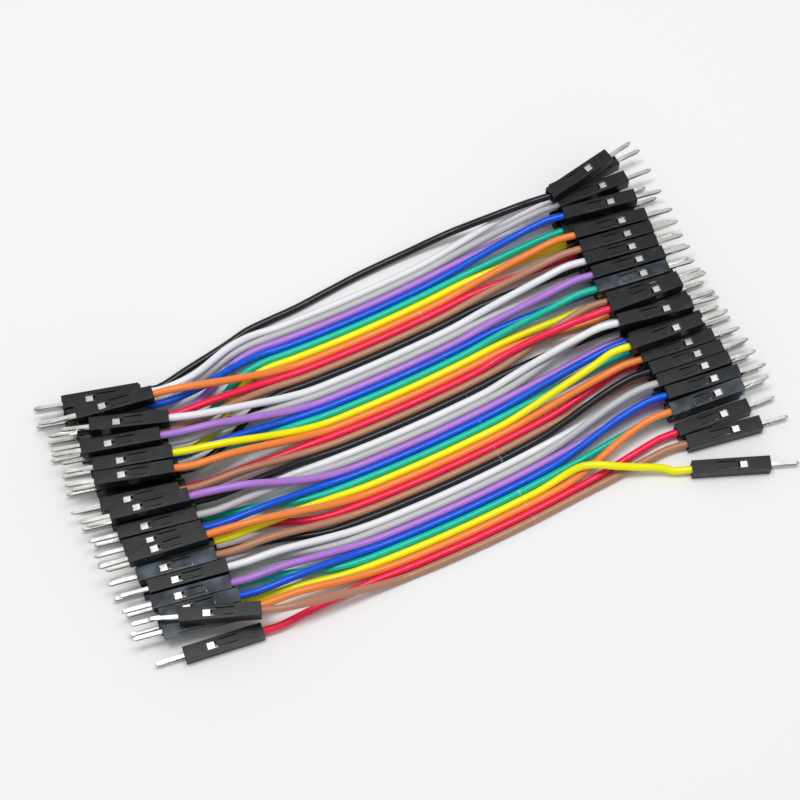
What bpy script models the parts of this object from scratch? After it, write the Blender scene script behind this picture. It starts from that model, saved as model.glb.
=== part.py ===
# Breadboard jumper wires: a peel apart ribbon of forty leads, with a pin in a black housing on both ends
# of each. Units are metres, +Z is up and +X runs along the wires. The ribbon lies on a table at z = 0.

import math

import bmesh
import bpy
from mathutils import Matrix, Vector

MM = 0.001

# Ribbon
LEADS = 40
LOOSE_LEAD = 1
WIRE_DIAMETER = 0.00138
BOND_GAP = 0.000035
FLOOR_GAP = 0.00006
FIRST_BONDED_Y = 0.0302
BONDED_HALF = 0.023
RIBBON_BOW = 0.001

# Crimp terminal, folded from sheet
SHEET = 0.00015
CRIMP_CLEARANCE = 0.00005
FIT_CLEARANCE = 0.00006
INSULATION_BARREL = 0.0019
INSULATION_WINGS = 0.0015
BARREL_NECK = 0.0005
CONDUCTOR_BARREL = 0.0021
CONDUCTOR_WINGS = 0.00105
RAIL_LENGTH = 0.0019
RAIL_WINGS = 0.0004
BOX_LENGTH = 0.00434
BOX_WIDTH = 0.0015
PIN_SIZE = 0.00064
PIN_REACH = 0.0052
PIN_TAPER = 0.0007
PIN_TIP = 0.0003

# Housing, with its own +X from the wire towards the pin and +Z through the latch
HOUSING_LENGTH = 0.014
WALL = 0.00032
FRONT_WALL = 0.0014
EDGE_CHAMFER = 0.00012
PIN_CLEARANCE = 0.00013
MOUTH_FLARE = 0.00025
WINDOW_LENGTH = 0.0017
WINDOW_CLEARANCE = 0.0001
TONGUE_LENGTH = 0.0036
TONGUE_WIDTH = 0.00104
TONGUE_DROP = 0.00014
SLOT_WIDTH = 0.00018
TOOTH_LENGTH = 0.0004
TOOTH_DROP = 0.0003
TOOTH_INSET = 0.0001
WELD_DEPTH = 0.0005

# The chamber takes the crimped wire, and the outside follows from it: 2.54 mm square
CRIMP_HALF = WIRE_DIAMETER / 2 + CRIMP_CLEARANCE + SHEET
CHAMBER_HALF = CRIMP_HALF + FIT_CLEARANCE
HOUSING_WIDTH = 2 * (CHAMBER_HALF + WALL)
BOX_FRONT = HOUSING_LENGTH - FRONT_WALL - FIT_CLEARANCE
BOX_BACK = BOX_FRONT - BOX_LENGTH
BOX_TOP = CHAMBER_HALF - WINDOW_CLEARANCE
TONGUE_BACK = BOX_BACK - TONGUE_LENGTH
CONDUCTOR_FRONT = BOX_BACK - RAIL_LENGTH
CONDUCTOR_BACK = CONDUCTOR_FRONT - CONDUCTOR_BARREL
INSULATION_FRONT = CONDUCTOR_BACK - BARREL_NECK
INSULATION_BACK = INSULATION_FRONT - INSULATION_BARREL

# Pile of housings at each end
STACK_CLEARANCE = 0.0001
SIDE_CLEARANCE = 0.0001
LEAD_OUT = 0.0032

# Where a wire leaves the flat ribbon, lifts over its neighbours and turns to its housing. For each layer of
# the pile: the share of its height, the share of its way sideways, and how far it sags to the near side.
FOOT_X = 0.0195
FOOT_RISE = (0.0, 0.145, 0.19)
LIFT_X = 0.024
LIFT_RISE = (0.18, 0.38, 0.43)
LIFT_BLEND = (0.12, 0.21, 0.15)
LIFT_SWAY = (0.00021, 0.0002, 0.00023)
FAN_X = 0.0325
FAN_RISE = (0.70, 0.83, 0.87)
FAN_BLEND = (0.64, 0.82, 0.51)
FAN_EAGERNESS = (15.0, 16.0, 52.0)
FAN_SWAY = (0.00026, 0.00024, 0.00039)

# Leads that are built in all their pieces; the others are one solid each, to stay within sixty objects
FIRST_OPEN_LEAD = 36

COLOURS = [
    ("black", (0.012, 0.013, 0.016)),
    ("white", (0.80, 0.81, 0.83)),
    ("grey", (0.50, 0.50, 0.50)),
    ("purple", (0.43, 0.21, 0.67)),
    ("blue", (0.01, 0.10, 0.66)),
    ("green", (0.0, 0.46, 0.33)),
    ("yellow", (0.90, 0.85, 0.02)),
    ("orange", (0.93, 0.25, 0.07)),
    ("red", (0.90, 0.03, 0.09)),
    ("brown", (0.36, 0.19, 0.12)),
]
HOUSING_COLOUR = (0.02, 0.022, 0.025)
TERMINAL_COLOUR = (0.72, 0.71, 0.68)

# Piles, from the far side to the near one. Each housing has its lead's number, the distance of its rear
# from the middle in mm, the lean of its front to the far side in degrees, and the spare room in mm
# between it and the housing before it. Layer 0 lies on the table. The hidden ones of layer 0 are even.
RIGHT_FIRST_Y = (0.0282, 0.0322, 0.0305)
RIGHT_HIDDEN = {"leads": (4, 6, 7, 9, 11, 13, 15, 17, 18, 21, 24, 26, 29, 30, 32, 34, 36),
                "reach": 41.6, "lean": (-4.0, -5.0), "room": 0.12}
RIGHT_LAYERS = (
    [(39, 41.2, -4.6, 1.1), (40, 41.7, -9.5, 0.0), (37, 40.1, -22.0, 2.1)],
    [(2, 43.2, 3.0, 0.0), (3, 43.1, -3.0, 0.0), (5, 42.9, -9.5, 0.0), (8, 42.8, -9.0, 1.73),
     (10, 42.4, -8.0, 0.2), (12, 41.9, -9.0, 0.0), (14, 41.8, -7.4, 0.1), (16, 41.1, -7.7, 0.3),
     (20, 41.6, -7.0, 0.2), (23, 41.2, -7.0, 1.7), (25, 41.5, -6.5, 1.8), (28, 41.6, -6.5, 1.4),
     (31, 41.9, -6.2, 0.0), (33, 41.9, -6.0, 0.0), (35, 42.2, -7.0, 0.1), (38, 41.4, -4.6, 0.0)],
    [(1, 41.7, 10.9, 0.0), (19, 40.6, -3.4, 22.6), (22, 40.5, -10.0, 0.5), (27, 40.1, -4.5, 1.1)],
)
LEFT_FIRST_Y = (0.0295, 0.0278, 0.0254)
LEFT_HIDDEN = {"leads": (1, 3, 4, 6, 7, 11, 19, 22, 26, 29, 31, 33, 36, 37),
               "reach": 41.8, "lean": (15.0, 9.0), "room": 0.75}
LEFT_LAYERS = (
    [(39, 40.4, 7.5, 3.3)],
    [(2, 41.6, 16.5, 0.0), (5, 41.9, 15.5, 0.0), (9, 41.2, 15.0, 0.0), (10, 41.8, 14.5, 0.0),
     (13, 41.1, 14.0, 0.0), (15, 42.0, 14.0, 0.0), (16, 41.4, 13.5, 0.0), (20, 43.0, 13.0, 1.5),
     (21, 41.5, 12.0, 0.0), (23, 42.2, 11.0, 0.0), (25, 42.3, 10.0, 0.0), (27, 41.5, 9.5, 0.2),
     (30, 42.2, 9.5, 0.0), (32, 41.3, 9.5, 0.0), (34, 42.0, 10.0, 0.3), (35, 41.6, 10.0, 0.0),
     (38, 42.3, 10.0, 0.0)],
    [(8, 40.1, 9.0, 0.0), (12, 39.4, 19.0, 0.2), (14, 42.1, 14.4, 0.6), (17, 41.5, 14.9, 1.0),
     (18, 42.4, 16.0, 0.0), (24, 42.2, 10.9, 3.2), (28, 42.4, 7.6, 5.2), (40, 39.6, 21.0, 10.2)],
)
STAGGER = (-0.3, 0.5)

# The pins reach a little further on the right, so the piles shift to keep the box about the origin
PILE_SHIFT = -0.00033

# Lead 1 has come off the ribbon all the way, and lies beside it until it climbs to its right housing
LOOSE_POINTS = [(-0.0240, 0.0314, 0.00080), (-0.0195, 0.0324, 0.00075), (-0.0097, 0.0327, 0.00075),
                (0.0028, 0.0338, 0.00075), (0.0146, 0.0340, 0.0013), (0.0225, 0.0336, 0.0026),
                (0.0315, 0.0320, 0.0051), (0.0370, 0.0311, 0.0063)]

# Lead 37 is peeled off at its right end. It humps over its neighbours and comes down on the table.
PEELED_LEAD = 37
PEELED_POINTS = [(0.0180, -0.01865, 0.0014), (0.0203, -0.01865, 0.0023), (0.0224, -0.0190, 0.0032),
                 (0.0248, -0.0201, 0.0036), (0.0274, -0.0215, 0.0033), (0.0306, -0.0229, 0.0026),
                 (0.0351, -0.02495, 0.0018)]


def spacing(before, this):
    """Distance in y between the rears of two housings that lie side by side with their own leans."""
    lean_before = math.radians(before[2])
    lean_this = math.radians(this[2])
    across = HOUSING_WIDTH / math.cos(max(abs(lean_before), abs(lean_this))) + SIDE_CLEARANCE
    closing = max(0.0, math.sin(lean_this) - math.sin(lean_before)) * HOUSING_LENGTH
    stagger = (this[1] - before[1]) * MM * math.tan(lean_before)
    return across + closing - stagger + this[3] * MM


def hidden_row(row):
    """Rows for the housings that the upper layers cover, at even places with a small stagger."""
    last = len(row["leads"]) - 1
    first_lean, last_lean = row["lean"]
    items = []
    for index, lead in enumerate(row["leads"]):
        lean = first_lean + (last_lean - first_lean) * index / last
        room = row["room"] if index else 0.0
        items.append((lead, row["reach"] + STAGGER[index % 2], lean, room))
    return items


def pile(side, hidden, layers, first_y):
    """Rear centre, direction towards the pin and layer of each lead's housing on one side."""
    places = {}
    for layer, row in enumerate(layers):
        items = hidden_row(hidden) + row if layer == 0 else row
        y = first_y[layer]
        height = HOUSING_WIDTH / 2 + layer * (HOUSING_WIDTH + STACK_CLEARANCE)
        for index, item in enumerate(items):
            if index:
                y -= spacing(items[index - 1], item)
            lean = math.radians(item[2])
            rear = Vector((side * item[1] * MM + PILE_SHIFT, y, height))
            forward = Vector((side * math.cos(lean), math.sin(lean), 0.0))
            places[item[0]] = (rear, forward, layer)
    return places


def ribbon_point(lead, x):
    """Centre of a wire where the ribbon lies flat, bowed a little and straight past the bonded stretch."""
    share = abs(x) / BONDED_HALF
    bow = RIBBON_BOW * (share ** 2 if share < 1.0 else 2 * share - 1)
    bonded_after = lead - LOOSE_LEAD - 1
    y = FIRST_BONDED_Y - (WIRE_DIAMETER + BOND_GAP) * bonded_after + bow
    return Vector((x, y, WIRE_DIAMETER / 2 + FLOOR_GAP))


def fan(lead, side, place):
    """Route points from the housing's rear to the place where the ribbon is bonded."""
    rear, forward, layer = place
    lead_out = rear - forward * LEAD_OUT
    rise = rear.z - WIRE_DIAMETER / 2 - FLOOR_GAP
    points = [rear, lead_out]
    for x, blend, eagerness, sway, share in (
            (FAN_X, FAN_BLEND[layer], FAN_EAGERNESS[layer], FAN_SWAY[layer], FAN_RISE[layer]),
            (LIFT_X, LIFT_BLEND[layer], 0.0, LIFT_SWAY[layer], LIFT_RISE[layer]),
            (FOOT_X, 0.0, 0.0, 0.0, FOOT_RISE[layer])):
        point = ribbon_point(lead, side * x)
        aside = lead_out.y - point.y
        point.y += aside * min(1.0, blend + eagerness * abs(aside)) - sway
        point.z += rise * share
        points.append(point)
    return points


def route(lead, left, right):
    """The few points that a wire's smooth line runs through, from its left housing to its right one."""
    left_points = fan(lead, -1, left[lead])
    right_points = fan(lead, 1, right[lead])
    if lead == LOOSE_LEAD:
        return left_points[:3] + [Vector(point) for point in LOOSE_POINTS] + right_points[:1]
    if lead == PEELED_LEAD:
        right_points = right_points[:2] + [Vector(point) for point in reversed(PEELED_POINTS)]
    return left_points + [ribbon_point(lead, 0.0)] + right_points[::-1]


def smooth_line(points, steps):
    """Points on a centripetal curve through the route, with so many steps between two route points."""
    ends = [points[0] * 2 - points[1]] + points + [points[-1] * 2 - points[-2]]
    line = []
    for index in range(1, len(ends) - 2):
        a, b, c, d = ends[index - 1:index + 3]
        ta = math.sqrt((b - a).length)
        tb = ta + math.sqrt((c - b).length)
        tc = tb + math.sqrt((d - c).length)
        count = steps[index - 1]
        for step in range(count):
            t = ta + (tb - ta) * step / count
            ab = a.lerp(b, t / ta)
            bc = b.lerp(c, (t - ta) / (tb - ta))
            cd = c.lerp(d, (t - tb) / (tc - tb))
            abc = ab.lerp(bc, t / tb)
            bcd = bc.lerp(cd, (t - ta) / (tc - ta))
            line.append(abc.lerp(bcd, (t - ta) / (tb - ta)))
    line.append(points[-1])
    return line


def material(name, colour, roughness, metallic=0.0):
    """A plain Principled material."""
    made = bpy.data.materials.new(name)
    made.use_nodes = True
    shader = made.node_tree.nodes["Principled BSDF"]
    shader.inputs["Base Color"].default_value = (*colour, 1.0)
    shader.inputs["Roughness"].default_value = roughness
    shader.inputs["Metallic"].default_value = metallic
    return made


def new_object(name, data, surface=None):
    """Put data in the scene under a name, with a material if one is given."""
    made = bpy.data.objects.new(name, data)
    bpy.context.scene.collection.objects.link(made)
    if surface:
        data.materials.clear()
        data.materials.append(surface)
    return made


def evaluated_mesh(source, name):
    """The mesh that an object shows with its modifiers, free of doubled points."""
    bpy.context.view_layer.update()
    graph = bpy.context.evaluated_depsgraph_get()
    mesh = bpy.data.meshes.new_from_object(source.evaluated_get(graph))
    mesh.name = name
    work = bmesh.new()
    work.from_mesh(mesh)
    bmesh.ops.remove_doubles(work, verts=work.verts, dist=1e-7)
    bmesh.ops.recalc_face_normals(work, faces=work.faces)
    work.to_mesh(mesh)
    work.free()
    return mesh


def box(work, x, y, z):
    """Add a closed box with the given spans to a bmesh and return its points."""
    size = Vector((x[1] - x[0], y[1] - y[0], z[1] - z[0]))
    middle = Vector((x[0] + x[1], y[0] + y[1], z[0] + z[1])) / 2
    place = Matrix.Translation(middle) @ Matrix.Diagonal((*size, 1.0))
    return bmesh.ops.create_cube(work, size=1.0, matrix=place)["verts"]


def tool(name, build):
    """An object used to cut or to join, made by a function that fills a bmesh."""
    work = bmesh.new()
    build(work)
    bmesh.ops.recalc_face_normals(work, faces=work.faces)
    mesh = bpy.data.meshes.new(name)
    work.to_mesh(mesh)
    work.free()
    made = new_object(name, mesh)
    made.hide_render = True
    made.display_type = "WIRE"
    return made


def combine(base, steps, name):
    """Apply unions and cuts to a base object, and return the mesh that is left."""
    for operation, other in steps:
        boolean = base.modifiers.new(other.name, "BOOLEAN")
        boolean.operation = operation
        boolean.solver = "EXACT"
        boolean.object = other
    mesh = evaluated_mesh(base, name)
    for operation, other in steps:
        bpy.data.objects.remove(other)
    bpy.data.objects.remove(base)
    return mesh


def block(work, chamfer):
    """The housing's outside, with its four long edges taken off if there is a chamfer."""
    half = HOUSING_WIDTH / 2
    box(work, (0.0, HOUSING_LENGTH), (-half, half), (-half, half))
    if chamfer:
        long_edges = [e for e in work.edges if abs(e.verts[0].co.x - e.verts[1].co.x) > HOUSING_LENGTH / 2]
        bmesh.ops.bevel(work, geom=long_edges, offset=chamfer, segments=1, affect="EDGES")


def crimp_chamber(work):
    """The hollow that holds the terminal, open at the rear."""
    box(work, (-WALL, HOUSING_LENGTH - FRONT_WALL), (-CHAMBER_HALF, CHAMBER_HALF),
        (-CHAMBER_HALF, CHAMBER_HALF))


def square_loft(work, stations):
    """A closed square bar through stations of (x, half side)."""
    rings = []
    for x, half in stations:
        corners = ((-half, -half), (half, -half), (half, half), (-half, half))
        rings.append([work.verts.new((x, y, z)) for y, z in corners])
    loft(work, rings)


def loft(work, rings):
    """Skin a row of rings and close both ends."""
    for before, after in zip(rings, rings[1:]):
        for index in range(len(before)):
            following = (index + 1) % len(before)
            work.faces.new((before[index], before[following], after[following], after[index]))
    work.faces.new(rings[0][::-1])
    work.faces.new(rings[-1])


def pin_hole(work):
    """The hole through the front wall, with a funnel at its mouth."""
    half = PIN_SIZE / 2 + PIN_CLEARANCE
    inside = HOUSING_LENGTH - FRONT_WALL - WALL
    square_loft(work, ((inside, half), (HOUSING_LENGTH - MOUTH_FLARE, half),
                       (HOUSING_LENGTH + MOUTH_FLARE, half + 2 * MOUTH_FLARE)))


def latch_cut(work):
    """The window over the terminal's box, and the two slots that run back from it and free the tongue."""
    inner = TONGUE_WIDTH / 2
    outer = inner + SLOT_WIDTH
    front = BOX_BACK + WINDOW_LENGTH
    outline = ((TONGUE_BACK, inner), (TONGUE_BACK, outer), (front, outer), (front, -outer),
               (TONGUE_BACK, -outer), (TONGUE_BACK, -inner), (BOX_BACK, -inner), (BOX_BACK, inner))
    top = HOUSING_WIDTH / 2
    loft(work, [[work.verts.new((x, y, z)) for x, y in outline] for z in (top + WALL, top - 1.5 * WALL)])


def tongue_step(work):
    """The tongue lies a little below the top face."""
    top = HOUSING_WIDTH / 2
    edge = TONGUE_WIDTH / 2 + SLOT_WIDTH / 2
    box(work, (TONGUE_BACK + SLOT_WIDTH, BOX_BACK + SLOT_WIDTH), (-edge, edge), (top - TONGUE_DROP, top + WALL))


def tooth(work):
    """The tooth under the tongue, which holds the terminal's box from behind."""
    edge = TONGUE_WIDTH / 2 - TOOTH_INSET
    front = BOX_BACK - FIT_CLEARANCE
    box(work, (front - TOOTH_LENGTH, front), (-edge, edge),
        (CHAMBER_HALF - TOOTH_DROP, CHAMBER_HALF + WALL / 4))


def housing_mesh():
    """The hollow housing: shell, pin hole, window, latch tongue and tooth."""
    base = tool("housing_block", lambda work: block(work, EDGE_CHAMFER))
    steps = [("DIFFERENCE", tool("crimp_chamber", crimp_chamber)),
             ("DIFFERENCE", tool("pin_hole", pin_hole)),
             ("DIFFERENCE", tool("latch_cut", latch_cut)),
             ("DIFFERENCE", tool("tongue_step", tongue_step)),
             ("UNION", tool("tooth", tooth))]
    return combine(base, steps, "housing")


def terminal_pin(work):
    """The square pin and its tapered tip, from inside the terminal's box."""
    tip = HOUSING_LENGTH + PIN_REACH
    square_loft(work, ((BOX_FRONT - SHEET, PIN_SIZE / 2), (tip - PIN_TAPER, PIN_SIZE / 2), (tip, PIN_TIP / 2)))


def terminal_box(work):
    """The folded box that fills the housing in front of the latch."""
    box(work, (BOX_BACK, BOX_FRONT), (-BOX_WIDTH / 2, BOX_WIDTH / 2), (-CRIMP_HALF, BOX_TOP))


def barrels(work):
    """The open channel of sheet whose wings are folded up round the insulation and round the conductor."""
    rings = []
    neck = BARREL_NECK / 2
    for x, half, wings in ((INSULATION_BACK, CRIMP_HALF, INSULATION_WINGS),
                           (INSULATION_FRONT, CRIMP_HALF, INSULATION_WINGS),
                           (INSULATION_FRONT + neck, BOX_WIDTH / 2, RAIL_WINGS),
                           (CONDUCTOR_BACK, BOX_WIDTH / 2, CONDUCTOR_WINGS),
                           (CONDUCTOR_FRONT, BOX_WIDTH / 2, CONDUCTOR_WINGS),
                           (CONDUCTOR_FRONT + neck, BOX_WIDTH / 2, RAIL_WINGS),
                           (BOX_BACK + SHEET, BOX_WIDTH / 2, RAIL_WINGS)):
        low = -CRIMP_HALF
        outline = ((-half, low + wings), (-half, low), (half, low), (half, low + wings),
                   (half - SHEET, low + wings), (half - SHEET, low + SHEET),
                   (SHEET - half, low + SHEET), (SHEET - half, low + wings))
        rings.append([work.verts.new((x, y, z)) for y, z in outline])
    loft(work, rings)


def terminal_mesh():
    """The crimp terminal in one piece: barrels, box and pin."""
    base = tool("barrels", barrels)
    steps = [("UNION", tool("terminal_box", terminal_box)), ("UNION", tool("terminal_pin", terminal_pin))]
    return combine(base, steps, "terminal")


def window_recess(work):
    """The window of a one piece connector, down to the top of the terminal's box."""
    top = HOUSING_WIDTH / 2
    side = TONGUE_WIDTH / 2 + SLOT_WIDTH
    box(work, (BOX_BACK, BOX_BACK + WINDOW_LENGTH), (-side, side), (BOX_TOP, top + WALL))


def fused_pin(work):
    """The pin of a one piece connector, which starts inside the front wall."""
    tip = HOUSING_LENGTH + PIN_REACH
    square_loft(work, ((HOUSING_LENGTH - FRONT_WALL, PIN_SIZE / 2), (tip - PIN_TAPER, PIN_SIZE / 2),
                       (tip, PIN_TIP / 2)))


def connector_mesh():
    """Housing and terminal as one solid, for the leads that are one object each."""
    base = tool("connector_block", lambda work: block(work, 0.0))
    steps = [("DIFFERENCE", tool("window_recess", window_recess)),
             ("DIFFERENCE", tool("tongue_step", tongue_step)),
             ("UNION", tool("fused_pin", fused_pin))]
    return combine(base, steps, "connector")


def end_matrix(place):
    """Puts a mesh that is modelled on the housing's own axes at its lead's end."""
    rear, forward, layer = place
    up = Vector((0.0, 0.0, 1.0))
    turn = Matrix((forward, up.cross(forward), up)).transposed().to_4x4()
    return Matrix.Translation(rear) @ turn


def wire(name, points, depth, left, right, surface):
    """An eight sided tube on the smooth line, which goes on straight into both housings for the given depth."""
    fan_steps = (1, 1, 2, 1)
    middle = (1,) * (len(points) - 1 - 2 * len(fan_steps))
    line = smooth_line(points, fan_steps + middle + fan_steps[::-1])
    line[0] = left[0] + left[1] * depth
    line[-1] = right[0] + right[1] * depth
    curve = bpy.data.curves.new(name, "CURVE")
    curve.dimensions = "3D"
    curve.twist_mode = "Z_UP"
    curve.bevel_depth = WIRE_DIAMETER / 2
    curve.bevel_resolution = 2
    curve.use_fill_caps = True
    spline = curve.splines.new("POLY")
    spline.points.add(len(line) - 1)
    for point, place in zip(spline.points, line):
        point.co = (*place, 1.0)
    return new_object(name, curve, surface)


def fused_lead(name, points, left, right, connector, surface):
    """Wire, terminals and housings as one solid."""
    tube = wire(name + "_tube", points, WELD_DEPTH, left, right, surface)
    base = new_object(name + "_base", evaluated_mesh(tube, name), surface)
    bpy.data.objects.remove(tube)
    steps = []
    for side, place in (("left", left), ("right", right)):
        end = new_object(f"{name}_{side}", connector)
        end.matrix_world = end_matrix(place)
        steps.append(("UNION", end))
    return new_object(name, combine(base, steps, name), surface)


def placed(name, mesh, place):
    """A copy of a shared mesh at a lead's end."""
    made = new_object(name, mesh)
    made.matrix_world = end_matrix(place)
    return made


def main():
    for old in list(bpy.data.objects):
        bpy.data.objects.remove(old)
    left = pile(-1, LEFT_HIDDEN, LEFT_LAYERS, LEFT_FIRST_Y)
    right = pile(1, RIGHT_HIDDEN, RIGHT_LAYERS, RIGHT_FIRST_Y)
    colours = [material(name, colour, 0.3) for name, colour in COLOURS]
    connector = connector_mesh()
    housing = housing_mesh()
    terminal = terminal_mesh()
    housing.materials.append(material("housing_black", HOUSING_COLOUR, 0.45))
    terminal.materials.append(material("tinned_metal", TERMINAL_COLOUR, 0.25, 1.0))
    for lead in range(1, LEADS + 1):
        index = (lead - 1) % len(COLOURS)
        points = route(lead, left, right)
        if lead < FIRST_OPEN_LEAD:
            fused_lead(f"lead_{lead:02d}_{COLOURS[index][0]}", points, left[lead], right[lead], connector,
                       colours[index])
            continue
        wire(f"wire_{lead:02d}_{COLOURS[index][0]}", points, INSULATION_FRONT, left[lead], right[lead],
             colours[index])
        for side, place in (("left", left[lead]), ("right", right[lead])):
            placed(f"housing_{lead:02d}_{side}", housing, place)
            placed(f"terminal_{lead:02d}_{side}", terminal, place)


main()
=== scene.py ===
# Breadboard jumper wires: a rainbow ribbon of forty leads, each with a pin in a black housing on both ends.
# Everything is in metres in the frame's own axes: x runs along the wires and the table is z = 0.

import math

import bpy
from mathutils import Matrix, Vector


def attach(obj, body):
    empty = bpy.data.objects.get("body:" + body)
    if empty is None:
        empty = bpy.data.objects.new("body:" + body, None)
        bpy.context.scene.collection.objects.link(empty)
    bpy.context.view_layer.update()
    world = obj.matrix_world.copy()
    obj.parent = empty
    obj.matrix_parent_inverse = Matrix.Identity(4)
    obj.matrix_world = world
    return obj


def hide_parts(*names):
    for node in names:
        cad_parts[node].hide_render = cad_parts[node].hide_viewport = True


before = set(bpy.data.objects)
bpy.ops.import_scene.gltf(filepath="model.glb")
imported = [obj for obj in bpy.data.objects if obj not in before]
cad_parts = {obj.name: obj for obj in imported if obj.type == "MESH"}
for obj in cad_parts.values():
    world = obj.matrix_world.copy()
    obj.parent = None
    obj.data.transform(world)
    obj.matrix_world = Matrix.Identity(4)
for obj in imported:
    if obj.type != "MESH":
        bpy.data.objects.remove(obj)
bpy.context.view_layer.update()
mm = 0.001

# camera: seen from the near left, well above the table
view = {"target": (-0.00033, 0.0080, 0.0), "azimuth": -26.0, "elevation": 65.0, "distance": 0.396,
        "lens": 99.0, "sensor": 36.0, "nearest": 0.01}


def sightLine(azimuth, elevation):
    a = math.radians(azimuth)
    e = math.radians(elevation)
    return Vector((math.sin(a) * math.cos(e), -math.cos(a) * math.cos(e), math.sin(e)))


def addCamera():
    back = sightLine(view["azimuth"], view["elevation"])
    place = Vector(view["target"]) + back * view["distance"]
    bpy.ops.object.camera_add(location=place, rotation=back.to_track_quat("Z", "Y").to_euler())
    camera = bpy.context.object
    camera.data.lens = view["lens"]
    camera.data.sensor_width = view["sensor"]
    camera.data.clip_start = view["nearest"]
    bpy.context.scene.camera = camera


addCamera()
print("camera ready")

# the ribbon and the two piles of housings lie where the frame has them
ribbon = {"leads": 40, "wire": 0.00138, "gap": 0.000035, "lift": 0.00006, "firstBonded": 2,
          "firstBondedY": 0.0302, "half": 0.023, "bow": 0.001, "stations": (-0.0145, -0.0075, 0.0, 0.0075, 0.0145)}
housingSize = {"length": 0.014, "width": 0.00254, "wall": 0.00032, "frontWall": 0.0014, "pinHole": 0.0009,
               "flare": 0.00025, "windowBack": 0.0082, "windowFront": 0.0099, "tongueBack": 0.0046,
               "tongueWidth": 0.00104, "slot": 0.00018, "slotEnd": 0.0085, "tongueDrop": 0.00014, "edge": 0.00009,
               "edgeSteps": 2, "mouldLine": (0.00012, 0.0001), "soft": 0.00003, "softSteps": 2}
pileGaps = {"above": 0.0001, "beside": 0.0001, "shift": -0.00033, "stagger": (-0.3, 0.5)}
leadOut = 0.0032

# where a wire leaves the flat ribbon, lifts over its neighbours and turns to its housing. For each layer of the
# pile: the share of its height, the share of its way sideways (more if it has far to go) and its sag
fanStations = (
    {"x": 0.0325, "rise": (0.70, 0.83, 0.87), "blend": (0.64, 0.82, 0.51), "eager": (15.0, 16.0, 52.0),
     "sway": (0.00026, 0.00024, 0.00039)},
    {"x": 0.024, "rise": (0.18, 0.38, 0.43), "blend": (0.12, 0.21, 0.15), "eager": (0.0, 0.0, 0.0),
     "sway": (0.00021, 0.0002, 0.00023)},
    {"x": 0.0195, "rise": (0.0, 0.145, 0.19), "blend": (0.0, 0.0, 0.0), "eager": (0.0, 0.0, 0.0),
     "sway": (0.0, 0.0, 0.0)},
)

# each housing: lead, reach of its rear from the middle in mm, lean to the far side in degrees, spare room in mm
rightPile = {
    "firstY": (0.0282, 0.0322, 0.0305),
    "hidden": (4, 6, 7, 9, 11, 13, 15, 17, 18, 21, 24, 26, 29, 30, 32, 34, 36),
    "reach": 41.6, "lean": (-4.0, -5.0), "room": 0.12,
    "layers": (
        [(39, 41.2, -4.6, 1.1), (40, 41.7, -9.5, 0.0), (37, 40.1, -22.0, 2.1)],
        [(2, 43.2, 3.0, 0.0), (3, 43.1, -3.0, 0.0), (5, 42.9, -9.5, 0.0), (8, 42.8, -9.0, 1.73),
         (10, 42.4, -8.0, 0.2), (12, 41.9, -9.0, 0.0), (14, 41.8, -7.4, 0.1), (16, 41.1, -7.7, 0.3),
         (20, 41.6, -7.0, 0.2), (23, 41.2, -7.0, 1.7), (25, 41.5, -6.5, 1.8), (28, 41.6, -6.5, 1.4),
         (31, 41.9, -6.2, 0.0), (33, 41.9, -6.0, 0.0), (35, 42.2, -7.0, 0.1), (38, 41.4, -4.6, 0.0)],
        [(1, 41.7, 10.9, 0.0), (19, 40.6, -3.4, 22.6), (22, 40.5, -10.0, 0.5), (27, 40.1, -4.5, 1.1)],
    ),
}
leftPile = {
    "firstY": (0.0295, 0.0278, 0.0254),
    "hidden": (1, 3, 4, 6, 7, 11, 19, 22, 26, 29, 31, 33, 36, 37),
    "reach": 41.8, "lean": (15.0, 9.0), "room": 0.75,
    "layers": (
        [(39, 40.4, 7.5, 3.3)],
        [(2, 41.6, 16.5, 0.0), (5, 41.9, 15.5, 0.0), (9, 41.2, 15.0, 0.0), (10, 41.8, 14.5, 0.0),
         (13, 41.1, 14.0, 0.0), (15, 42.0, 14.0, 0.0), (16, 41.4, 13.5, 0.0), (20, 43.0, 13.0, 1.5),
         (21, 41.5, 12.0, 0.0), (23, 42.2, 11.0, 0.0), (25, 42.3, 10.0, 0.0), (27, 41.5, 9.5, 0.2),
         (30, 42.2, 9.5, 0.0), (32, 41.3, 9.5, 0.0), (34, 42.0, 10.0, 0.3), (35, 41.6, 10.0, 0.0),
         (38, 42.3, 10.0, 0.0)],
        [(8, 40.1, 9.0, 0.0), (12, 39.4, 19.0, 0.2), (14, 42.1, 14.4, 0.6), (17, 41.5, 14.9, 1.0),
         (18, 42.4, 16.0, 0.0), (24, 42.2, 10.9, 3.2), (28, 42.4, 7.6, 5.2), (40, 39.6, 21.0, 10.2)],
    ),
}

# lead 1 has come off the ribbon all the way, and lies beside it until it climbs to its right housing
loose = {"lead": 1, "points": [(-0.0240, 0.0314, 0.00080), (-0.0195, 0.0324, 0.00075), (-0.0149, 0.0326, 0.00075),
                               (-0.0097, 0.0327, 0.00075), (-0.0035, 0.03325, 0.00072), (0.0028, 0.0338, 0.00075),
                               (0.0089, 0.0340, 0.00092), (0.0146, 0.0340, 0.0013), (0.0186, 0.0339, 0.00184),
                               (0.0225, 0.0336, 0.0026), (0.0315, 0.0320, 0.0051), (0.0370, 0.0311, 0.0063)]}

# lead 37 is peeled off: it humps over its neighbours and comes down on the table
peeled = {"lead": 37, "points": [(0.0180, -0.01865, 0.0014), (0.0203, -0.01865, 0.0023), (0.0224, -0.0190, 0.0032),
                                 (0.0248, -0.0201, 0.0036), (0.0274, -0.0215, 0.0033), (0.0306, -0.0229, 0.0026),
                                 (0.0351, -0.02495, 0.0018)]}


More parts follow.
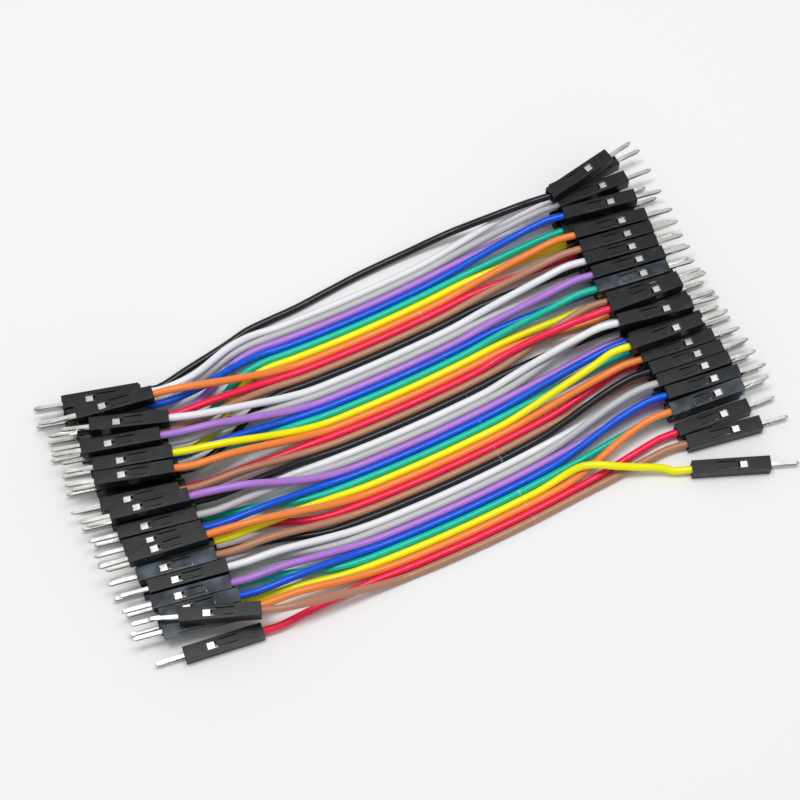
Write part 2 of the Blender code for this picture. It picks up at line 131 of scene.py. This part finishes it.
def stepInY(before, this):
    # how far along y the next housing's rear lies, so that two of them just clear each other
    leanBefore = math.radians(before[2])
    leanThis = math.radians(this[2])
    across = housingSize["width"] / math.cos(max(abs(leanBefore), abs(leanThis))) + pileGaps["beside"]
    closing = max(0.0, math.sin(leanThis) - math.sin(leanBefore)) * housingSize["length"]
    stagger = (this[1] - before[1]) * mm * math.tan(leanBefore)
    return across + closing - stagger + this[3] * mm


def hiddenRow(pile):
    last = len(pile["hidden"]) - 1
    firstLean, lastLean = pile["lean"]
    items = []
    for index, lead in enumerate(pile["hidden"]):
        lean = firstLean + (lastLean - firstLean) * index / last
        items.append((lead, pile["reach"] + pileGaps["stagger"][index % 2], lean, pile["room"] if index else 0.0))
    return items


def pilePlaces(side, pile):
    # rear centre, direction towards the pin and layer of every lead's housing on one side
    places = {}
    for layer, row in enumerate(pile["layers"]):
        items = hiddenRow(pile) + row if layer == 0 else row
        y = pile["firstY"][layer]
        z = housingSize["width"] / 2 + layer * (housingSize["width"] + pileGaps["above"])
        for index, item in enumerate(items):
            if index:
                y -= stepInY(items[index - 1], item)
            lean = math.radians(item[2])
            rear = Vector((side * item[1] * mm + pileGaps["shift"], y, z))
            places[item[0]] = (rear, Vector((side * math.cos(lean), math.sin(lean), 0.0)), layer)
    return places


def ribbonPoint(lead, x):
    share = abs(x) / ribbon["half"]
    bow = ribbon["bow"] * (share ** 2 if share < 1.0 else 2 * share - 1)
    y = ribbon["firstBondedY"] - (ribbon["wire"] + ribbon["gap"]) * (lead - ribbon["firstBonded"]) + bow
    return Vector((x, y, ribbon["wire"] / 2 + ribbon["lift"]))


def fanPoints(lead, side, place):
    rear, forward, layer = place
    out = rear - forward * leadOut
    rise = rear.z - ribbon["wire"] / 2 - ribbon["lift"]
    points = [rear, out]
    for station in fanStations:
        point = ribbonPoint(lead, side * station["x"])
        aside = out.y - point.y
        blend = min(1.0, station["blend"][layer] + station["eager"][layer] * abs(aside))
        point.y += aside * blend - station["sway"][layer]
        point.z += rise * station["rise"][layer]
        points.append(point)
    return points


def wireRoute(lead):
    leftPoints = fanPoints(lead, -1, leftPlaces[lead])
    rightPoints = fanPoints(lead, 1, rightPlaces[lead])
    if lead == loose["lead"]:
        return leftPoints[:3] + [Vector(point) for point in loose["points"]] + rightPoints[:1]
    if lead == peeled["lead"]:
        rightPoints = rightPoints[:2] + [Vector(point) for point in reversed(peeled["points"])]
    return leftPoints + [ribbonPoint(lead, x) for x in ribbon["stations"]] + rightPoints[::-1]


def smoothLine(points, spacing):
    # a centripetal curve through the route's points, read about every spacing
    ends = [points[0] * 2 - points[1]] + points + [points[-1] * 2 - points[-2]]
    line = []
    for index in range(1, len(ends) - 2):
        a, b, c, d = ends[index - 1:index + 3]
        ta = math.sqrt((b - a).length)
        tb = ta + math.sqrt((c - b).length)
        tc = tb + math.sqrt((d - c).length)
        count = max(1, round((c - b).length / spacing))
        for step in range(count):
            t = ta + (tb - ta) * step / count
            ab = a.lerp(b, t / ta)
            bc = b.lerp(c, (t - ta) / (tb - ta))
            cd = c.lerp(d, (t - tb) / (tc - tb))
            line.append(ab.lerp(bc, t / tb).lerp(bc.lerp(cd, (t - ta) / (tc - ta)), (t - ta) / (tb - ta)))
    line.append(points[-1])
    return line


leftPlaces = pilePlaces(-1, leftPile)
rightPlaces = pilePlaces(1, rightPile)

# a wire runs on straight into both housings, as far as the end of its insulation
wireShape = {"depth": 0.0037, "spacing": 0.0015, "roundness": 4, "cutLength": 0.092}


def addWire(lead):
    line = smoothLine(wireRoute(lead), wireShape["spacing"])
    left, right = leftPlaces[lead], rightPlaces[lead]
    line[0] = left[0] + left[1] * wireShape["depth"]
    line[-1] = right[0] + right[1] * wireShape["depth"]
    line.insert(1, left[0])
    line.insert(-1, right[0])
    curve = bpy.data.curves.new(f"wire{lead:02d}", "CURVE")
    curve.dimensions = "3D"
    curve.twist_mode = "Z_UP"
    curve.bevel_depth = ribbon["wire"] / 2
    curve.bevel_resolution = wireShape["roundness"]
    curve.use_fill_caps = True
    spline = curve.splines.new("POLY")
    spline.points.add(len(line) - 1)
    for point, place in zip(spline.points, line):
        point.co = (*place, 1.0)
    spline.use_smooth = True
    wire = bpy.data.objects.new(f"wire{lead:02d}", curve)
    bpy.context.scene.collection.objects.link(wire)
    return wire, line[0]


wires = {lead: addWire(lead) for lead in range(1, ribbon["leads"] + 1)}
print("wires laid:", len(wires))


class Signal:
    # a socket that takes part in sums
    def __init__(self, finish, socket):
        self.finish = finish
        self.socket = socket

    def maths(self, operation, *values):
        return self.finish.make("ShaderNodeMath", {"operation": operation}, dict(enumerate(values)))[0]

    def __abs__(self):
        return self.maths("ABSOLUTE", self)

    def __add__(self, other):
        return self.maths("ADD", self, other)

    def __sub__(self, other):
        return self.maths("SUBTRACT", self, other)

    def __rsub__(self, other):
        return self.maths("SUBTRACT", other, self)

    def __mul__(self, other):
        return self.maths("MULTIPLY", self, other)

    def __gt__(self, other):
        return self.maths("GREATER_THAN", self, other)

    __radd__ = __add__
    __rmul__ = __mul__


class Finish:
    # one material with its nodes; the numbers are outputs of Texture Coordinate
    facing = 1
    place = 3

    def __init__(self, name, settings):
        self.material = bpy.data.materials.new(name)
        self.material.use_nodes = True
        self.nodes = self.material.node_tree.nodes
        self.links = self.material.node_tree.links
        self.shader = self.nodes["Principled BSDF"]
        self.put(self.shader, settings)

    def put(self, node, sockets):
        for name, value in sockets.items():
            if isinstance(value, Signal):
                self.links.new(value.socket, node.inputs[name])
            else:
                node.inputs[name].default_value = value

    def make(self, kind, settings, sockets):
        node = self.nodes.new(kind)
        for name, value in settings.items():
            setattr(node, name, value)
        self.put(node, sockets)
        return [Signal(self, socket) for socket in node.outputs]

    def coordinate(self, kind):
        return self.make("ShaderNodeTexCoord", {}, {})[kind]

    def along(self, kind, axis):
        return self.make("ShaderNodeSeparateXYZ", {}, {"Vector": self.coordinate(kind)})["xyz".index(axis)]

    def noise(self, specks, detail=2.0):
        # specks is their number in a metre along each axis
        scaled = self.make("ShaderNodeMapping", {}, {"Vector": self.coordinate(self.place), "Scale": specks})[0]
        return self.make("ShaderNodeTexNoise", {}, {"Vector": scaled, "Scale": 1.0, "Detail": detail})[0]

    def rough(self, look):
        # roughness wanders about its middle value
        spread = look["roughSpread"]
        return self.noise(look["roughGrain"]) * spread + (look["roughness"] - spread / 2)

    def ramp(self, signal, low, high):
        return self.make("ShaderNodeMapRange", {"interpolation_type": "SMOOTHSTEP"},
                         {"Value": signal, "From Min": low, "From Max": high})[0]

    def mix(self, share, first, second):
        # sockets 6 and 7 of a colour mix are its two colours, and output 2 is the result
        return self.make("ShaderNodeMix", {"data_type": "RGBA"}, {0: share, 6: first, 7: second})[2]

    def bump(self, look):
        sockets = {"Height": self.noise(look["skin"], look["skinDetail"]), "Strength": look["skinStrength"],
                   "Distance": look["skinDepth"]}
        self.put(self.shader, {"Normal": self.make("ShaderNodeBump", {}, sockets)[0]})


# insulation: glossy extruded PVC in ten colours, each with its lighter and darker tone (linear)
insulation = {
    "black": (0.008, 0.009, 0.012), "white": (0.82, 0.84, 0.87), "grey": (0.52, 0.52, 0.52),
    "purple": (0.44, 0.20, 0.68), "blue": (0.0, 0.095, 0.72), "green": (0.0, 0.51, 0.37),
    "yellow": (0.95, 0.90, 0.0), "orange": (0.95, 0.25, 0.05), "red": (0.94, 0.015, 0.075),
    "brown": (0.46, 0.22, 0.135),
}
wireLook = {"bend": 1.5, "shine": 0.35, "roughness": 0.20, "roughSpread": 0.12, "roughGrain": (300.0, 1200.0, 1200.0),
            "palest": 0.95, "darker": 0.88, "lighter": 1.05, "cloud": (90.0, 500.0, 500.0),
            "skin": (120.0, 4200.0, 4200.0), "skinDetail": 3.0, "skinStrength": 0.2, "skinDepth": 0.000025}

# a row of small pale scuffs across the middle of the ribbon, and a little dust
marks = {"tone": (0.75, 0.75, 0.75, 1.0), "share": 0.35, "detail": 1.0, "scuffX": 0.0104, "scuffHalf": 0.00016,
         "scuff": (1500.0, 1900.0, 1900.0), "scuffEdge": (0.56, 0.66),
         "dust": (1100.0, 2600.0, 2600.0), "dustEdge": (0.75, 0.80), "dustShare": 0.3}


def toned(colour, share):
    return (*[min(wireLook["palest"], level * share) for level in colour], 1.0)


def makeInsulation(name, colour):
    finish = Finish(f"{name}Pvc", {"IOR": wireLook["bend"], "Specular IOR Level": wireLook["shine"]})
    cloudy = finish.noise(wireLook["cloud"])
    tone = finish.mix(cloudy, toned(colour, wireLook["darker"]), toned(colour, wireLook["lighter"]))
    near = marks["scuffHalf"] - abs(finish.along(finish.place, "x") - marks["scuffX"])
    scuffs = (near > 0.0) * finish.ramp(finish.noise(marks["scuff"], marks["detail"]), *marks["scuffEdge"])
    dust = finish.ramp(finish.noise(marks["dust"], marks["detail"]), *marks["dustEdge"])
    marked = (scuffs + dust * marks["dustShare"]) * marks["share"]
    finish.put(finish.shader, {"Base Color": finish.mix(marked, tone, marks["tone"]),
                               "Roughness": finish.rough(wireLook)})
    finish.bump(wireLook)
    return finish.material


colourNames = list(insulation)
pvc = {name: makeInsulation(name, colour) for name, colour in insulation.items()}

# moulded plastic: charcoal black with a satin skin; a few housings come from a shinier mould. Lighter bluish patches
# are painted sheen, faint on the satin kind and strong on the shiny kind
mouldedSkin = {"bend": 1.5, "roughSpread": 0.2, "roughGrain": (700.0, 700.0, 700.0),
               "skin": (9000.0, 9000.0, 9000.0), "skinDetail": 2.0, "skinStrength": 0.3, "skinDepth": 0.00001}
plasticLook = {
    "satinBlack": {"tone": (0.0060, 0.0070, 0.0088, 1.0), "paintedSheen": (0.018, 0.021, 0.026, 1.0),
                   "patch": (420.0, 420.0, 420.0), "patchEdge": (0.50, 0.80), "roughness": 0.36, "shine": 0.3},
    "shinyBlack": {"tone": (0.0100, 0.0145, 0.0210, 1.0), "paintedSheen": (0.090, 0.115, 0.145, 1.0),
                   "patch": (190.0, 190.0, 190.0), "patchEdge": (0.38, 0.72), "roughness": 0.18, "shine": 0.5},
}


def makePlastic(name):
    look = {**mouldedSkin, **plasticLook[name]}
    finish = Finish(name, {"IOR": look["bend"], "Specular IOR Level": look["shine"]})
    # painted sheen: lighter bluish patches laid into the colour of the housing
    sheenPatches = finish.ramp(finish.noise(look["patch"]), *look["patchEdge"])
    finish.put(finish.shader, {"Base Color": finish.mix(sheenPatches, look["tone"], look["paintedSheen"]),
                               "Roughness": finish.rough(look)})
    finish.bump(look)
    return finish.material


plastic = {name: makePlastic(name) for name in plasticLook}

# terminal: bright tin on bronze, with a fine grain and a duller cast in places. The sides are painted dark:
# painted shade, standing in for the shaded table close below that they reflect
tinLook = {"bright": (0.90, 0.89, 0.86, 1.0), "dull": (0.74, 0.72, 0.68, 1.0), "cast": (400.0, 400.0, 400.0),
           "castEdge": (0.35, 0.75), "paintedShadeSide": (0.20, 0.19, 0.18, 1.0), "paintedShadeSideEdge": (0.30, 0.75),
           "roughness": 0.22, "roughSpread": 0.12, "roughGrain": (500.0, 500.0, 500.0),
           "skin": (900.0, 2500.0, 2500.0), "skinDetail": 2.0, "skinStrength": 0.04, "skinDepth": 0.000004}


def makeTin():
    finish = Finish("brightTin", {"Metallic": 1.0})
    cast = finish.ramp(finish.noise(tinLook["cast"]), *tinLook["castEdge"])
    tinned = finish.mix(cast, tinLook["bright"], tinLook["dull"])
    # painted shade: faces that look sideways, not up or down, get the dark side tone
    level = finish.ramp(abs(finish.along(finish.facing, "z")), *tinLook["paintedShadeSideEdge"])
    finish.put(finish.shader, {"Base Color": finish.mix(level, tinLook["paintedShadeSide"], tinned),
                               "Roughness": finish.rough(tinLook)})
    finish.bump(tinLook)
    return finish.material


brightTin = makeTin()
print("insulation, plastic and tin ready")


def clearSelection():
    if bpy.context.mode != "OBJECT":
        bpy.ops.object.mode_set(mode="OBJECT")
    bpy.ops.object.select_all(action="DESELECT")


def addBlock(name, x, y, z):
    # a block with the given spans, its place in its mesh
    clearSelection()
    middle = ((x[0] + x[1]) / 2, (y[0] + y[1]) / 2, (z[0] + z[1]) / 2)
    bpy.ops.mesh.primitive_cube_add(size=1.0, location=middle, scale=(x[1] - x[0], y[1] - y[0], z[1] - z[0]))
    block = bpy.context.object
    block.name = name
    bpy.ops.object.transform_apply(location=True, rotation=True, scale=True)
    return block


def pick(piece, kind, chosen):
    # select the faces or edges that a test chooses, and stay in edit mode
    bpy.context.view_layer.objects.active = piece
    bpy.ops.object.mode_set(mode="EDIT")
    bpy.ops.mesh.select_mode(type=kind)
    bpy.ops.mesh.select_all(action="DESELECT")
    bpy.ops.object.mode_set(mode="OBJECT")
    mesh = piece.data
    for item in mesh.polygons if kind == "FACE" else mesh.edges:
        item.select = chosen(item)
    bpy.ops.object.mode_set(mode="EDIT")


def looking(x=0.0, z=0.0, closeness=0.9):
    # a test that chooses the faces which look along x or z
    way = Vector((x, 0.0, z))
    return lambda face: face.normal.dot(way) > closeness


def edgeEnds(piece, edge):
    return [piece.data.vertices[index].co for index in edge.vertices]


def leave():
    bpy.ops.object.mode_set(mode="OBJECT")


def carve(piece, cutter, operation="DIFFERENCE"):
    clearSelection()
    piece.select_set(True)
    bpy.context.view_layer.objects.active = piece
    boolean = piece.modifiers.new(cutter.name, "BOOLEAN")
    boolean.operation = operation
    boolean.solver = "EXACT"
    boolean.object = cutter
    bpy.ops.object.modifier_apply(modifier=boolean.name)
    bpy.data.objects.remove(cutter)


softening = {"from": 30.0, "smoothTo": 40.0, "flatWeight": 100}  # two angles, and how far large faces stay flat


def soften(piece, size):
    clearSelection()
    piece.select_set(True)
    bpy.context.view_layer.objects.active = piece
    bevel = piece.modifiers.new("soft edges", "BEVEL")
    bevel.width = size["soft"]
    bevel.segments = size["softSteps"]
    bevel.limit_method = "ANGLE"
    bevel.angle_limit = math.radians(softening["from"])
    bpy.ops.object.modifier_apply(modifier=bevel.name)
    bpy.ops.object.shade_smooth_by_angle(angle=math.radians(softening["smoothTo"]))
    flatter = piece.modifiers.new("flat faces", "WEIGHTED_NORMAL")
    flatter.keep_sharp = True
    flatter.weight = softening["flatWeight"]
    bpy.ops.object.modifier_apply(modifier=flatter.name)


def modelHousing():
    # modelled lying along x, wire end at 0, with the latch on top; the cutters reach past the faces they cut
    h = housingSize
    half = h["width"] / 2
    shell = addBlock("housingShape", (0.0, h["length"]), (-half, half), (-half, half))
    pick(shell, "FACE", looking(x=-1.0))
    bpy.ops.mesh.inset(thickness=h["wall"])
    bpy.ops.mesh.extrude_region_move(TRANSFORM_OT_translate={"value": (h["length"] - h["frontWall"], 0.0, 0.0)})
    leave()
    pick(shell, "EDGE", lambda edge: all(abs(end.y) > half - h["edge"] and abs(end.z) > half - h["edge"]
                                         for end in edgeEnds(shell, edge)))
    bpy.ops.mesh.bevel(offset=h["edge"], segments=h["edgeSteps"])
    leave()
    bore = (-h["pinHole"] / 2, h["pinHole"] / 2)
    hole = addBlock("pinHole", (h["length"] - 2 * h["frontWall"], h["length"] + h["wall"]), bore, bore)
    # the hole widens to a funnel at the front
    pick(hole, "FACE", looking(x=1.0))
    bpy.ops.transform.translate(value=(-h["wall"] - h["flare"], 0.0, 0.0))
    funnel = 1.0 + 4 * h["flare"] / h["pinHole"]
    bpy.ops.mesh.extrude_region_move(TRANSFORM_OT_translate={"value": (2 * h["flare"], 0.0, 0.0)})
    bpy.ops.transform.resize(value=(1.0, funnel, funnel))
    leave()
    carve(shell, hole)
    inner = h["tongueWidth"] / 2
    outer = inner + h["slot"]
    top = (half - 1.5 * h["wall"], half + h["wall"])
    carve(shell, addBlock("window", (h["windowBack"], h["windowFront"]), (-outer, outer), top))
    for side in (-1, 1):
        across = sorted((side * inner, side * outer))
        carve(shell, addBlock("slot", (h["tongueBack"], h["slotEnd"]), across, top))
    root = h["tongueBack"] - h["slot"]
    step = inner + h["slot"] / 2
    carve(shell, addBlock("tongueStep", (root, h["windowBack"] + h["slot"]), (-step, step),
                          (half - h["tongueDrop"], half + h["wall"])))
    # the line that the mould leaves across the top at the tongue's root
    lineWidth, lineDepth = h["mouldLine"]
    carve(shell, addBlock("mouldLine", (root - lineWidth, root), (-h["width"], h["width"]),
                          (half - lineDepth, half + h["wall"])))
    soften(shell, h)
    return shell


# terminal: sheet folded round the insulation and round the strands, then the box that latches, then the pin
terminalSize = {"sheet": 0.00015, "floor": -0.00089, "insulation": (0.0018, 0.0037), "insulationGap": 0.00003,
                "strands": (0.0042, 0.0063), "strandRadius": 0.00045, "barrelSides": 16, "railHeight": 0.0004,
                "box": (0.00862, 0.01254), "boxHalf": 0.00075, "boxTop": 0.00085, "mouthDepth": 0.0012,
                "seam": 0.00006, "seamStart": 0.00952, "earReach": 0.0009, "earHeight": 0.0005,
                "pin": 0.00064, "reach": 0.0052, "taper": 0.0007, "tip": 0.0003, "soft": 0.000025, "softSteps": 1}


def addBarrel(name, span, radius):
    # sheet rolled into a tube with its seam open along the top
    t = terminalSize
    clearSelection()
    middle = ((span[0] + span[1]) / 2, 0.0, t["floor"] + radius + t["sheet"])
    bpy.ops.mesh.primitive_cylinder_add(vertices=t["barrelSides"], radius=radius + t["sheet"] / 2,
                                        depth=span[1] - span[0], end_fill_type="NOTHING", location=middle,
                                        rotation=(0.0, math.pi / 2, 0.0))
    barrel = bpy.context.object
    barrel.name = name
    bpy.ops.object.transform_apply(location=True, rotation=True, scale=True)
    nearTop = math.cos(1.5 * math.pi / t["barrelSides"])
    pick(barrel, "FACE", lambda face: face.normal.z > nearTop and face.center.y > 0.0)
    bpy.ops.mesh.delete(type="FACE")
    leave()
    sheet = barrel.modifiers.new("sheet", "SOLIDIFY")
    sheet.thickness = t["sheet"]
    sheet.offset = 0.0
    bpy.ops.object.modifier_apply(modifier=sheet.name)
    return barrel


def modelTerminal():
    t = terminalSize
    sheet = t["sheet"]
    low, top = t["floor"], t["boxTop"]
    back, front = t["box"]
    half = t["boxHalf"]
    body = addBlock("terminalShape", t["box"], (-half, half), (low, top))
    # the pin grows out of the box's front and ends in a tapered tip
    pick(body, "FACE", looking(x=1.0))
    bpy.ops.mesh.inset(thickness=sheet)
    bpy.ops.mesh.extrude_region_move(TRANSFORM_OT_translate={"value": (sheet / 2, 0.0, 0.0)})
    leave()
    end = housingSize["length"] + t["reach"]
    square = (-t["pin"] / 2, t["pin"] / 2)
    pin = addBlock("pin", (front - sheet, end - t["taper"]), square, square)
    pick(pin, "FACE", looking(x=1.0))
    narrow = t["tip"] / t["pin"]
    bpy.ops.mesh.extrude_region_move(TRANSFORM_OT_translate={"value": (t["taper"], 0.0, 0.0)})
    bpy.ops.transform.resize(value=(1.0, narrow, narrow))
    leave()
    carve(body, pin, "UNION")
    # the folded seam along the box's top, and its open mouth at the back
    carve(body, addBlock("seam", (t["seamStart"], front - sheet), (-t["seam"] / 2, t["seam"] / 2),
                         (top - sheet, top + sheet)))
    carve(body, addBlock("boxMouth", (back - sheet, back + t["mouthDepth"]), (-half + sheet, half - sheet),
                         (low + sheet, top - sheet)))
    # a trough joins the box to the two barrels
    rail = addBlock("rail", (t["insulation"][0], back + sheet), (-half, half), (low, low + t["railHeight"]))
    pick(rail, "FACE", looking(z=1.0))
    bpy.ops.mesh.inset(thickness=sheet)
    bpy.ops.mesh.extrude_region_move(TRANSFORM_OT_translate={"value": (0.0, 0.0, sheet - t["railHeight"])})
    leave()
    carve(body, rail, "UNION")
    carve(body, addBarrel("insulationBarrel", t["insulation"], ribbon["wire"] / 2 + t["insulationGap"]), "UNION")
    carve(body, addBarrel("strandBarrel", t["strands"], t["strandRadius"]), "UNION")
    # the box's side walls reach back beside the tongue, and glint in its slots
    for side in (-1, 1):
        across = sorted((side * half, side * (half - sheet)))
        ear = addBlock("ear", (back - t["earReach"], back + sheet), across, (top - t["earHeight"], top))
        carve(body, ear, "UNION")
    soften(body, t)
    return body


housingShape = modelHousing()
terminalShape = modelTerminal()
print("shapes modelled:", len(housingShape.data.polygons), "and", len(terminalShape.data.polygons), "faces")


def copyTo(shape, name, place, surface):
    # a copy with its own mesh, whose place goes into the mesh
    rear, forward = place[:2]
    up = Vector((0.0, 0.0, 1.0))
    turn = Matrix((forward, up.cross(forward), up)).transposed().to_4x4()
    mesh = shape.data.copy()
    mesh.name = name
    mesh.transform(Matrix.Translation(rear) @ turn)
    mesh.materials.clear()
    mesh.materials.append(surface)
    piece = bpy.data.objects.new(name, mesh)
    bpy.context.scene.collection.objects.link(piece)
    return piece


shiny = {"Left": (30, 34, 35, 38), "Right": (16, 38)}  # leads whose housing is of the shinier kind
firstOpenLead = 36  # from here on the frame has a lead in its pieces, and before it fused into one

for lead, (wire, exitPoint) in wires.items():
    colour = colourNames[(lead - 1) % len(colourNames)]
    wire.data.materials.append(pvc[colour])
    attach(wire, "root")
    fused = f"lead_{lead:02d}_{colour}"
    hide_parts(fused if lead < firstOpenLead else f"wire_{lead:02d}_{colour}")
    for side, places in (("Left", leftPlaces), ("Right", rightPlaces)):
        skin = plastic["shinyBlack" if lead in shiny[side] else "satinBlack"]
        housing = copyTo(housingShape, f"housing{lead:02d}{side}", places[lead], skin)
        terminal = copyTo(terminalShape, f"terminal{lead:02d}{side}", places[lead], brightTin)
        for piece, kind, slot in ((housing, "housing", "black_housing"), (terminal, "terminal", "tinned_terminal")):
            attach(piece, "root")
            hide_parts(fused if lead < firstOpenLead else f"{kind}_{lead:02d}_{side.lower()}")
bpy.data.objects.remove(housingShape)
bpy.data.objects.remove(terminalShape)
print("leads put together")

# table and light
tableLook = {"size": 6.0, "tone": (0.86, 0.865, 0.87), "darker": 0.985, "patch": (6.0, 6.0, 6.0), "roughness": 0.75,
             "shine": 0.2}
lamps = {
    "key": {"place": (-0.14, 0.10, 0.75), "size": 0.16, "power": 1.7},
    "gloss": {"place": (0.15, 0.03, 0.75), "size": 0.24, "power": 1.7},
    "sparkle": {"place": (0.11, 0.27, 0.75), "size": 0.06, "power": 0.12},
}
sky = {"tone": (1.0, 1.0, 1.0), "strength": 0.5}


def addTable():
    clearSelection()
    bpy.ops.mesh.primitive_plane_add(size=tableLook["size"], location=(0.0, 0.0, 0.0))
    table = bpy.context.object
    table.name = "table"
    finish = Finish("paleTable", {"Roughness": tableLook["roughness"], "Specular IOR Level": tableLook["shine"]})
    tone = tableLook["tone"]
    darker = [level * tableLook["darker"] for level in tone]
    finish.put(finish.shader, {"Base Color": finish.mix(finish.noise(tableLook["patch"]), (*tone, 1.0),
                                                        (*darker, 1.0))})
    table.data.materials.append(finish.material)


def addLamps():
    for name, lamp in lamps.items():
        place = Vector(lamp["place"])
        bpy.ops.object.light_add(type="AREA", location=place, rotation=place.to_track_quat("Z", "Y").to_euler())
        light = bpy.context.object
        light.name = name
        light.data.size = lamp["size"]
        light.data.energy = lamp["power"]


def addSky():
    # an even white room lights everything softly, and shows in the tin and the gloss at the same strength
    world = bpy.data.worlds.new("studio")
    world.use_nodes = True
    background = world.node_tree.nodes["Background"]
    background.inputs["Color"].default_value = (*sky["tone"], 1.0)
    background.inputs["Strength"].default_value = sky["strength"]
    bpy.context.scene.world = world


addTable()
addLamps()
addSky()
bpy.context.scene.view_settings.view_transform = "Standard"
print("table and light ready")
